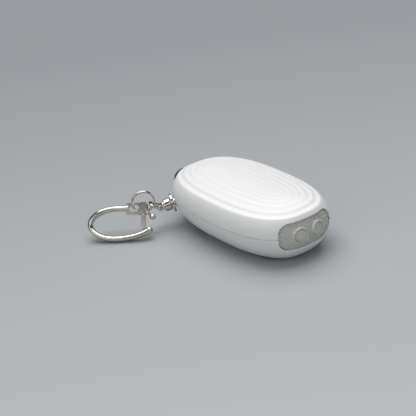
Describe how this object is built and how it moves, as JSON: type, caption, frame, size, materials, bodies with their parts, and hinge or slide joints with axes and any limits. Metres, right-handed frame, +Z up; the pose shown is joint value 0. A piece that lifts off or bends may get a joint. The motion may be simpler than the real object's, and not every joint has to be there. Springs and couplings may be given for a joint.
{
  "type": "personal safety alarm",
  "caption": "Rippled pebble-shaped pocket alarm with a clear lamp window, light button, battery door, and a siren pull pin on a swivel, link, ring and trigger snap.",
  "frame": {"origin": "centre of the flat underside of the case, on the surface that the part lies on", "axes": "+Z up, +X along the case towards the lamp window, +Y towards the side away from the pull pin"},
  "size_m": [0.0779, 0.0622, 0.0202],
  "materials": {
    "white_case": "injection moulded, satin gloss white",
    "clear_window": null,
    "bright_block": "metallised plastic reflector",
    "clear_lamp": "clear epoxy lamp body",
    "board": "green solder mask on glass fibre board",
    "black_part": "moulded black electronic part",
    "winding": "enamelled copper winding on a ferrite drum",
    "can": "drawn aluminium can",
    "brass": "rolled and turned brass",
    "ceramic": "fired ceramic with a silvered face",
    "inner_plastic": "moulded plastic, unpolished",
    "cell_steel": "nickel plated steel cell can",
    "spring_steel": "nickel plated spring strip",
    "screw_steel": "zinc plated steel",
    "dark_button": "dark moulded push button",
    "chain_metal": "nickel plated, polished"
  },
  "bodies": {
    "case": {"bottom_cover": "white_case", "top_cover": "white_case", "front_lens": "clear_window", "light_reflector": "bright_block", "led_near": "clear_lamp", "led_far": "clear_lamp", "circuit_board": "board", "siren_chip": "black_part", "step_up_coil": "winding", "capacitor": "can", "piezo_plate": "brass", "piezo_ceramic": "ceramic", "sounder_ring": "inner_plastic", "battery_cells": "cell_steel", "battery_contact": "spring_steel", "battery_spring": "spring_steel", "battery_door": "white_case", "door_screw": "screw_steel", "case_screws": "screw_steel", "light_switch": "black_part", "pin_switch": "black_part", "pin_bush": "brass"},
    "light_button": {"light_button": "dark_button"},
    "pull_pin": {"pull_pin": "chain_metal", "pin_collar": "chain_metal"},
    "swivel_barrel": {"swivel_barrel": "chain_metal"},
    "swivel_link": {"swivel_link": "chain_metal"},
    "jump_ring": {"jump_ring": "chain_metal"},
    "snap_hook": {"snap_hook": "chain_metal", "gate_rivet": "chain_metal", "gate_spring": "spring_steel"},
    "snap_gate": {"snap_gate": "chain_metal"}
  },
  "joints": [
    {"name": "light_press", "type": "slide", "parent": "case", "child": "light_button", "axis": [1, 0, 0], "range_m": [0, 0.0004], "stiffness_N_per_m": 1500, "springref_m": -0.0002},
    {"name": "pin_pull", "type": "slide", "parent": "case", "child": "pull_pin", "axis": [-0.4288, -0.8792, -0.2079], "range_m": [0, 0.02]},
    {"name": "barrel_spin", "type": "hinge", "parent": "pull_pin", "child": "swivel_barrel", "pos_m": [-0.02611, -0.01449, 0.00917], "axis": [-0.4288, -0.8792, -0.2079], "continuous": true},
    {"name": "link_swing", "type": "hinge", "parent": "swivel_barrel", "child": "swivel_link", "pos_m": [-0.02843, -0.01924, 0.00805], "axis": [0.8988, -0.4384, 0], "range_deg": [-30, 30]},
    {"name": "ring_swing", "type": "hinge", "parent": "swivel_link", "child": "jump_ring", "pos_m": [-0.02957, -0.02158, 0.00955], "axis": [0.8988, -0.4384, 0], "range_deg": [-12, 15]},
    {"name": "hook_swing", "type": "hinge", "parent": "jump_ring", "child": "snap_hook", "pos_m": [-0.03234, -0.02811, 0.00961], "axis": [0.7071, 0.7071, 0], "range_deg": [-20, 5]},
    {"name": "gate_open", "type": "hinge", "parent": "snap_hook", "child": "snap_gate", "pos_m": [-0.0295, -0.02572, 0.00923], "axis": [-0.5403, 0.5403, -0.6451], "range_deg": [0, 25], "stiffness_Nm_per_rad": 0.01, "springref_deg": -17.19}
  ]
}
